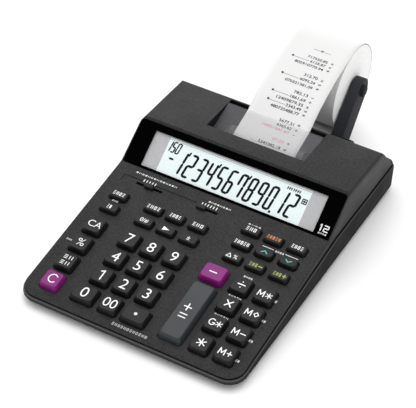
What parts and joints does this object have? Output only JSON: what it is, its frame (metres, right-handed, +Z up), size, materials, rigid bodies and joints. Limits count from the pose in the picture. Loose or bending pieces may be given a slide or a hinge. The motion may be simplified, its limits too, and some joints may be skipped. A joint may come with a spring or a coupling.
{
  "type": "printing desk calculator",
  "caption": "Wedge-shaped printing desk calculator with a tilted display, pressable keys, slide switches, a hinged printer cover and a paper roll on a rear swing-up holder.",
  "frame": {"origin": "centre of the overall footprint, paper roll included, on the table surface the feet stand on", "axes": "+X to the user's right, +Y back from the keyboard towards the paper roll, +Z up"},
  "size_m": [0.195, 0.3716, 0.0892],
  "materials": {
    "charcoal_grained": "fine-grained moulded charcoal ABS",
    "charcoal_lower": "fine-grained moulded charcoal ABS",
    "gloss_black": "polished black plastic",
    "lcd_pale": "pale green-grey liquid-crystal display with printed segments",
    "key_dark": "satin black keys with white moulded symbols",
    "key_magenta": "satin magenta keys",
    "key_slate": "satin slate-grey key",
    "clear_plastic": "clear acrylic",
    "arm_dark": "satin dark plastic",
    "paper_white": "uncoated white paper",
    "rubber_grey": "moulded silicone or rubber",
    "board_green": "green circuit board",
    "drum_grey": "moulded drum with raised type rows",
    "zinc_steel": "zinc-plated sheet steel"
  },
  "bodies": {
    "housing": {"upper_housing": "charcoal_grained", "lower_housing": "charcoal_lower", "display_panel": "gloss_black", "lcd_module": "lcd_pale", "main_pcb": "board_green", "keypad_mat": "rubber_grey", "printer_frame": "zinc_steel", "paper_web": "paper_white"},
    "printer_cover": {"printer_cover": "charcoal_grained", "tear_plate": "clear_plastic"},
    "roll_holder": {"roll_holder": "arm_dark"},
    "paper_roll": {"paper_roll": "paper_white"},
    "feed_roller": {"feed_roller": "rubber_grey"},
    "print_drum": {"print_drum": "drum_grey"},
    "battery_door": {"battery_door": "charcoal_lower"},
    "decimal_switch": {"decimal_switch": "key_dark"},
    "rounding_switch": {"rounding_switch": "key_dark"},
    "key_clear": {"key_clear": "key_magenta"},
    "key_markup": {"key_markup": "key_dark"},
    "key_percent": {"key_percent": "key_dark"},
    "key_clear_all": {"key_clear_all": "key_dark"},
    "key_item": {"key_item": "key_dark"},
    "key_time": {"key_time": "key_dark"},
    "key_0": {"key_0": "key_dark"},
    "key_1": {"key_1": "key_dark"},
    "key_4": {"key_4": "key_dark"},
    "key_7": {"key_7": "key_dark"},
    "key_rate": {"key_rate": "key_dark"},
    "key_cost": {"key_cost": "key_dark"},
    "key_00": {"key_00": "key_dark"},
    "key_2": {"key_2": "key_dark"},
    "key_5": {"key_5": "key_dark"},
    "key_8": {"key_8": "key_dark"},
    "key_backspace": {"key_backspace": "key_dark"},
    "key_sell": {"key_sell": "key_dark"},
    "key_point": {"key_point": "key_dark"},
    "key_3": {"key_3": "key_dark"},
    "key_6": {"key_6": "key_dark"},
    "key_9": {"key_9": "key_dark"},
    "key_sign": {"key_sign": "key_dark"},
    "key_margin": {"key_margin": "key_dark"},
    "key_plus_equals": {"key_plus_equals": "key_slate"},
    "key_minus": {"key_minus": "key_magenta"},
    "key_total": {"key_total": "key_dark"},
    "key_grand_total": {"key_grand_total": "key_dark"},
    "key_multiply": {"key_multiply": "key_dark"},
    "key_divide": {"key_divide": "key_dark"},
    "key_memory_plus": {"key_memory_plus": "key_dark"},
    "key_memory_minus": {"key_memory_minus": "key_dark"},
    "key_memory_subtotal": {"key_memory_subtotal": "key_dark"},
    "key_memory_total": {"key_memory_total": "key_dark"},
    "key_delta_percent": {"key_delta_percent": "key_dark"},
    "key_correct": {"key_correct": "key_dark"},
    "key_print": {"key_print": "key_dark"},
    "key_tax_minus": {"key_tax_minus": "key_dark"},
    "key_step_up": {"key_step_up": "key_dark"},
    "key_reprint": {"key_reprint": "key_dark"},
    "key_tax_plus": {"key_tax_plus": "key_dark"},
    "key_step_down": {"key_step_down": "key_dark"},
    "key_feed": {"key_feed": "key_dark"}
  },
  "joints": [
    {"name": "key_clear_press", "type": "slide", "parent": "housing", "child": "key_clear", "axis": [0, 0.156, -0.9878], "range_m": [0, 0.0016], "stiffness_N_per_m": 150, "springref_m": -0.002},
    {"name": "key_markup_press", "type": "slide", "parent": "housing", "child": "key_markup", "axis": [0, 0.156, -0.9878], "range_m": [0, 0.0016], "stiffness_N_per_m": 150, "springref_m": -0.002},
    {"name": "key_percent_press", "type": "slide", "parent": "housing", "child": "key_percent", "axis": [0, 0.156, -0.9878], "range_m": [0, 0.0016], "stiffness_N_per_m": 150, "springref_m": -0.002},
    {"name": "key_clear_all_press", "type": "slide", "parent": "housing", "child": "key_clear_all", "axis": [0, 0.156, -0.9878], "range_m": [0, 0.0016], "stiffness_N_per_m": 150, "springref_m": -0.002},
    {"name": "key_item_press", "type": "slide", "parent": "housing", "child": "key_item", "axis": [0, 0.156, -0.9878], "range_m": [0, 0.0016], "stiffness_N_per_m": 150, "springref_m": -0.002},
    {"name": "key_time_press", "type": "slide", "parent": "housing", "child": "key_time", "axis": [0, 0.156, -0.9878], "range_m": [0, 0.0016], "stiffness_N_per_m": 150, "springref_m": -0.002},
    {"name": "key_0_press", "type": "slide", "parent": "housing", "child": "key_0", "axis": [0, 0.156, -0.9878], "range_m": [0, 0.0016], "stiffness_N_per_m": 150, "springref_m": -0.002},
    {"name": "key_1_press", "type": "slide", "parent": "housing", "child": "key_1", "axis": [0, 0.156, -0.9878], "range_m": [0, 0.0016], "stiffness_N_per_m": 150, "springref_m": -0.002},
    {"name": "key_4_press", "type": "slide", "parent": "housing", "child": "key_4", "axis": [0, 0.156, -0.9878], "range_m": [0, 0.0016], "stiffness_N_per_m": 150, "springref_m": -0.002},
    {"name": "key_7_press", "type": "slide", "parent": "housing", "child": "key_7", "axis": [0, 0.156, -0.9878], "range_m": [0, 0.0016], "stiffness_N_per_m": 150, "springref_m": -0.002},
    {"name": "key_rate_press", "type": "slide", "parent": "housing", "child": "key_rate", "axis": [0, 0.156, -0.9878], "range_m": [0, 0.0016], "stiffness_N_per_m": 150, "springref_m": -0.002},
    {"name": "key_cost_press", "type": "slide", "parent": "housing", "child": "key_cost", "axis": [0, 0.156, -0.9878], "range_m": [0, 0.0016], "stiffness_N_per_m": 150, "springref_m": -0.002},
    {"name": "key_00_press", "type": "slide", "parent": "housing", "child": "key_00", "axis": [0, 0.156, -0.9878], "range_m": [0, 0.0016], "stiffness_N_per_m": 150, "springref_m": -0.002},
    {"name": "key_2_press", "type": "slide", "parent": "housing", "child": "key_2", "axis": [0, 0.156, -0.9878], "range_m": [0, 0.0016], "stiffness_N_per_m": 150, "springref_m": -0.002},
    {"name": "key_5_press", "type": "slide", "parent": "housing", "child": "key_5", "axis": [0, 0.156, -0.9878], "range_m": [0, 0.0016], "stiffness_N_per_m": 150, "springref_m": -0.002},
    {"name": "key_8_press", "type": "slide", "parent": "housing", "child": "key_8", "axis": [0, 0.156, -0.9878], "range_m": [0, 0.0016], "stiffness_N_per_m": 150, "springref_m": -0.002},
    {"name": "key_backspace_press", "type": "slide", "parent": "housing", "child": "key_backspace", "axis": [0, 0.156, -0.9878], "range_m": [0, 0.0016], "stiffness_N_per_m": 150, "springref_m": -0.002},
    {"name": "key_sell_press", "type": "slide", "parent": "housing", "child": "key_sell", "axis": [0, 0.156, -0.9878], "range_m": [0, 0.0016], "stiffness_N_per_m": 150, "springref_m": -0.002},
    {"name": "key_point_press", "type": "slide", "parent": "housing", "child": "key_point", "axis": [0, 0.156, -0.9878], "range_m": [0, 0.0016], "stiffness_N_per_m": 150, "springref_m": -0.002},
    {"name": "key_3_press", "type": "slide", "parent": "housing", "child": "key_3", "axis": [0, 0.156, -0.9878], "range_m": [0, 0.0016], "stiffness_N_per_m": 150, "springref_m": -0.002},
    {"name": "key_6_press", "type": "slide", "parent": "housing", "child": "key_6", "axis": [0, 0.156, -0.9878], "range_m": [0, 0.0016], "stiffness_N_per_m": 150, "springref_m": -0.002},
    {"name": "key_9_press", "type": "slide", "parent": "housing", "child": "key_9", "axis": [0, 0.156, -0.9878], "range_m": [0, 0.0016], "stiffness_N_per_m": 150, "springref_m": -0.002},
    {"name": "key_sign_press", "type": "slide", "parent": "housing", "child": "key_sign", "axis": [0, 0.156, -0.9878], "range_m": [0, 0.0016], "stiffness_N_per_m": 150, "springref_m": -0.002},
    {"name": "key_margin_press", "type": "slide", "parent": "housing", "child": "key_margin", "axis": [0, 0.156, -0.9878], "range_m": [0, 0.0016], "stiffness_N_per_m": 150, "springref_m": -0.002},
    {"name": "key_plus_equals_press", "type": "slide", "parent": "housing", "child": "key_plus_equals", "axis": [0, 0.156, -0.9878], "range_m": [0, 0.0016], "stiffness_N_per_m": 250, "springref_m": -0.002},
    {"name": "key_minus_press", "type": "slide", "parent": "housing", "child": "key_minus", "axis": [0, 0.156, -0.9878], "range_m": [0, 0.0016], "stiffness_N_per_m": 150, "springref_m": -0.002},
    {"name": "key_total_press", "type": "slide", "parent": "housing", "child": "key_total", "axis": [0, 0.156, -0.9878], "range_m": [0, 0.0016], "stiffness_N_per_m": 150, "springref_m": -0.002},
    {"name": "key_grand_total_press", "type": "slide", "parent": "housing", "child": "key_grand_total", "axis": [0, 0.156, -0.9878], "range_m": [0, 0.0016], "stiffness_N_per_m": 150, "springref_m": -0.002},
    {"name": "key_multiply_press", "type": "slide", "parent": "housing", "child": "key_multiply", "axis": [0, 0.156, -0.9878], "range_m": [0, 0.0016], "stiffness_N_per_m": 150, "springref_m": -0.002},
    {"name": "key_divide_press", "type": "slide", "parent": "housing", "child": "key_divide", "axis": [0, 0.156, -0.9878], "range_m": [0, 0.0016], "stiffness_N_per_m": 150, "springref_m": -0.002},
    {"name": "key_memory_plus_press", "type": "slide", "parent": "housing", "child": "key_memory_plus", "axis": [0, 0.156, -0.9878], "range_m": [0, 0.0016], "stiffness_N_per_m": 150, "springref_m": -0.002},
    {"name": "key_memory_minus_press", "type": "slide", "parent": "housing", "child": "key_memory_minus", "axis": [0, 0.156, -0.9878], "range_m": [0, 0.0016], "stiffness_N_per_m": 150, "springref_m": -0.002},
    {"name": "key_memory_subtotal_press", "type": "slide", "parent": "housing", "child": "key_memory_subtotal", "axis": [0, 0.156, -0.9878], "range_m": [0, 0.0016], "stiffness_N_per_m": 150, "springref_m": -0.002},
    {"name": "key_memory_total_press", "type": "slide", "parent": "housing", "child": "key_memory_total", "axis": [0, 0.156, -0.9878], "range_m": [0, 0.0016], "stiffness_N_per_m": 150, "springref_m": -0.002},
    {"name": "key_delta_percent_press", "type": "slide", "parent": "housing", "child": "key_delta_percent", "axis": [0, 0.156, -0.9878], "range_m": [0, 0.0016], "stiffness_N_per_m": 150, "springref_m": -0.002},
    {"name": "key_correct_press", "type": "slide", "parent": "housing", "child": "key_correct", "axis": [0, 0.156, -0.9878], "range_m": [0, 0.0016], "stiffness_N_per_m": 150, "springref_m": -0.002},
    {"name": "key_print_press", "type": "slide", "parent": "housing", "child": "key_print", "axis": [0, 0.156, -0.9878], "range_m": [0, 0.0016], "stiffness_N_per_m": 150, "springref_m": -0.002},
    {"name": "key_tax_minus_press", "type": "slide", "parent": "housing", "child": "key_tax_minus", "axis": [0, 0.156, -0.9878], "range_m": [0, 0.0016], "stiffness_N_per_m": 150, "springref_m": -0.002},
    {"name": "key_step_up_press", "type": "slide", "parent": "housing", "child": "key_step_up", "axis": [0, 0.156, -0.9878], "range_m": [0, 0.0016], "stiffness_N_per_m": 150, "springref_m": -0.002},
    {"name": "key_reprint_press", "type": "slide", "parent": "housing", "child": "key_reprint", "axis": [0, 0.156, -0.9878], "range_m": [0, 0.0016], "stiffness_N_per_m": 150, "springref_m": -0.002},
    {"name": "key_tax_plus_press", "type": "slide", "parent": "housing", "child": "key_tax_plus", "axis": [0, 0.156, -0.9878], "range_m": [0, 0.0016], "stiffness_N_per_m": 150, "springref_m": -0.002},
    {"name": "key_step_down_press", "type": "slide", "parent": "housing", "child": "key_step_down", "axis": [0, 0.156, -0.9878], "range_m": [0, 0.0016], "stiffness_N_per_m": 150, "springref_m": -0.002},
    {"name": "key_feed_press", "type": "slide", "parent": "housing", "child": "key_feed", "axis": [0, 0.156, -0.9878], "range_m": [0, 0.0016], "stiffness_N_per_m": 150, "springref_m": -0.002},
    {"name": "printer_cover_hinge", "type": "hinge", "parent": "housing", "child": "printer_cover", "pos_m": [0, 0.06905, 0.0533], "axis": [-1, 0, 0], "range_deg": [0, 70]},
    {"name": "roll_holder_hinge", "type": "hinge", "parent": "housing", "child": "roll_holder", "pos_m": [0.0018, 0.11015, 0.0145], "axis": [1, 0, 0], "range_deg": [0, 25], "deforming": ["paper_web"]},
    {"name": "paper_roll_spin", "type": "hinge", "parent": "roll_holder", "child": "paper_roll", "pos_m": [0.0018, 0.14565, 0.049], "axis": [-1, 0, 0], "continuous": true},
    {"name": "feed_roller_spin", "type": "hinge", "parent": "housing", "child": "feed_roller", "pos_m": [0, 0.04142, 0.03984], "axis": [-1, 0, 0], "continuous": true},
    {"name": "print_drum_spin", "type": "hinge", "parent": "housing", "child": "print_drum", "pos_m": [0, 0.02332, 0.03804], "axis": [-1, 0, 0], "continuous": true},
    {"name": "battery_door_slide", "type": "slide", "parent": "housing", "child": "battery_door", "axis": [0, -1, 0], "range_m": [0, 0.06]},
    {"name": "decimal_switch_slide", "type": "slide", "parent": "housing", "child": "decimal_switch", "axis": [1, 0, 0], "range_m": [-0.009, 0.009]},
    {"name": "rounding_switch_slide", "type": "slide", "parent": "housing", "child": "rounding_switch", "axis": [1, 0, 0], "range_m": [0, 0.0115]}
  ],
  "couplings": [
    {"joint": "feed_roller_spin", "follows": "paper_roll_spin", "ratio": 4.8125}
  ]
}
